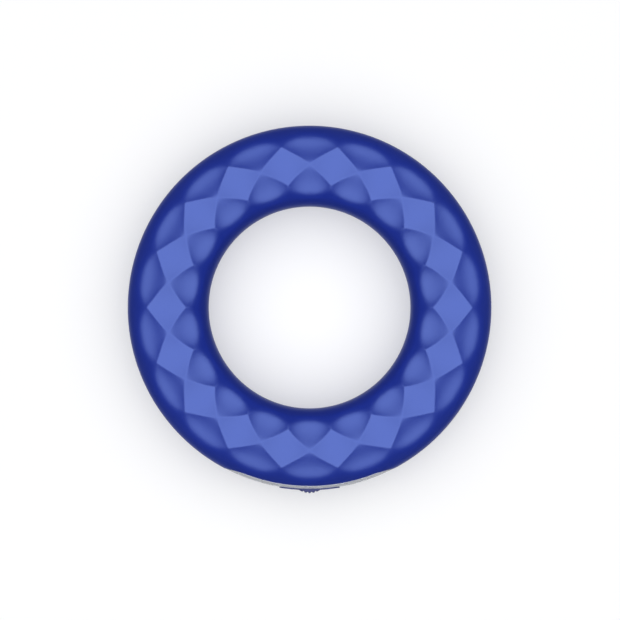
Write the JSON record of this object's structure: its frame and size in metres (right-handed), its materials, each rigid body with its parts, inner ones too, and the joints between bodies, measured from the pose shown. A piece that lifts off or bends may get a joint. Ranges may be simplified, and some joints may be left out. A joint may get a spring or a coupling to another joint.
{
  "type": "vibrating massage ring",
  "caption": "Thick hand-held ring of soft silicone with diamond facets, a hollow hard core, a plated rim plate with a ribbed push button, and a small vibration motor.",
  "frame": {"origin": "on the ring axis, in the plane the ring rests on when it lies flat", "axes": "+Z along the ring axis, up from the resting plane; the push button faces -Y"},
  "size_m": [0.07, 0.0707, 0.0156],
  "materials": {
    "silicone": "soft-touch matte silicone, deep blue",
    "core_plastic": "moulded",
    "silver_plating": "satin silver plating on plastic",
    "foam": "closed-cell foam",
    "button_plastic": "satin, dark blue",
    "white_plastic": "moulded",
    "black_plastic": "moulded",
    "board_green": "solder mask",
    "component_tan": "ceramic",
    "contact_gold": "plated",
    "magnet_nickel": "nickel plated",
    "cell_wrap": "shrink wrap",
    "wire_red": "insulated wire",
    "wire_black": "insulated wire",
    "motor_steel": "zinc plated",
    "bush_brass": "turned",
    "ferrite": "sintered",
    "armature_steel": "laminated",
    "weight_metal": "sintered",
    "sleeve_rubber": "moulded"
  },
  "bodies": {
    "ring": {"soft_skin": "silicone", "core_lower": "core_plastic", "core_upper": "core_plastic", "bezel": "silver_plating", "bezel_gasket": "foam", "switch_body": "black_plastic", "circuit_board": "board_green", "control_chip": "black_plastic", "charge_chip": "black_plastic", "board_components": "component_tan", "charge_contacts": "contact_gold", "contact_collars": "black_plastic", "charge_magnets": "magnet_nickel", "battery_cell": "cell_wrap", "battery_pads": "foam", "battery_lead_positive": "wire_red", "battery_lead_negative": "wire_black", "motor_can": "motor_steel", "motor_bush": "bush_brass", "motor_endcap": "white_plastic", "motor_field_magnet": "ferrite", "motor_sleeve": "sleeve_rubber", "motor_lead_positive": "wire_red", "motor_lead_negative": "wire_black"},
    "button": {"button_cap": "button_plastic", "button_plunger": "white_plastic", "switch_stem": "white_plastic"},
    "rotor": {"motor_shaft": "motor_steel", "motor_armature": "armature_steel", "motor_commutator": "bush_brass", "eccentric_weight": "weight_metal"}
  },
  "joints": [
    {"name": "button_press", "type": "slide", "parent": "ring", "child": "button", "axis": [0, 1, 0], "range_m": [0, 0.00035], "stiffness_N_per_m": 3000},
    {"name": "rotor_spin", "type": "hinge", "parent": "ring", "child": "rotor", "pos_m": [0, 0.0269, 0.0078], "axis": [1, 0, 0], "continuous": true}
  ]
}
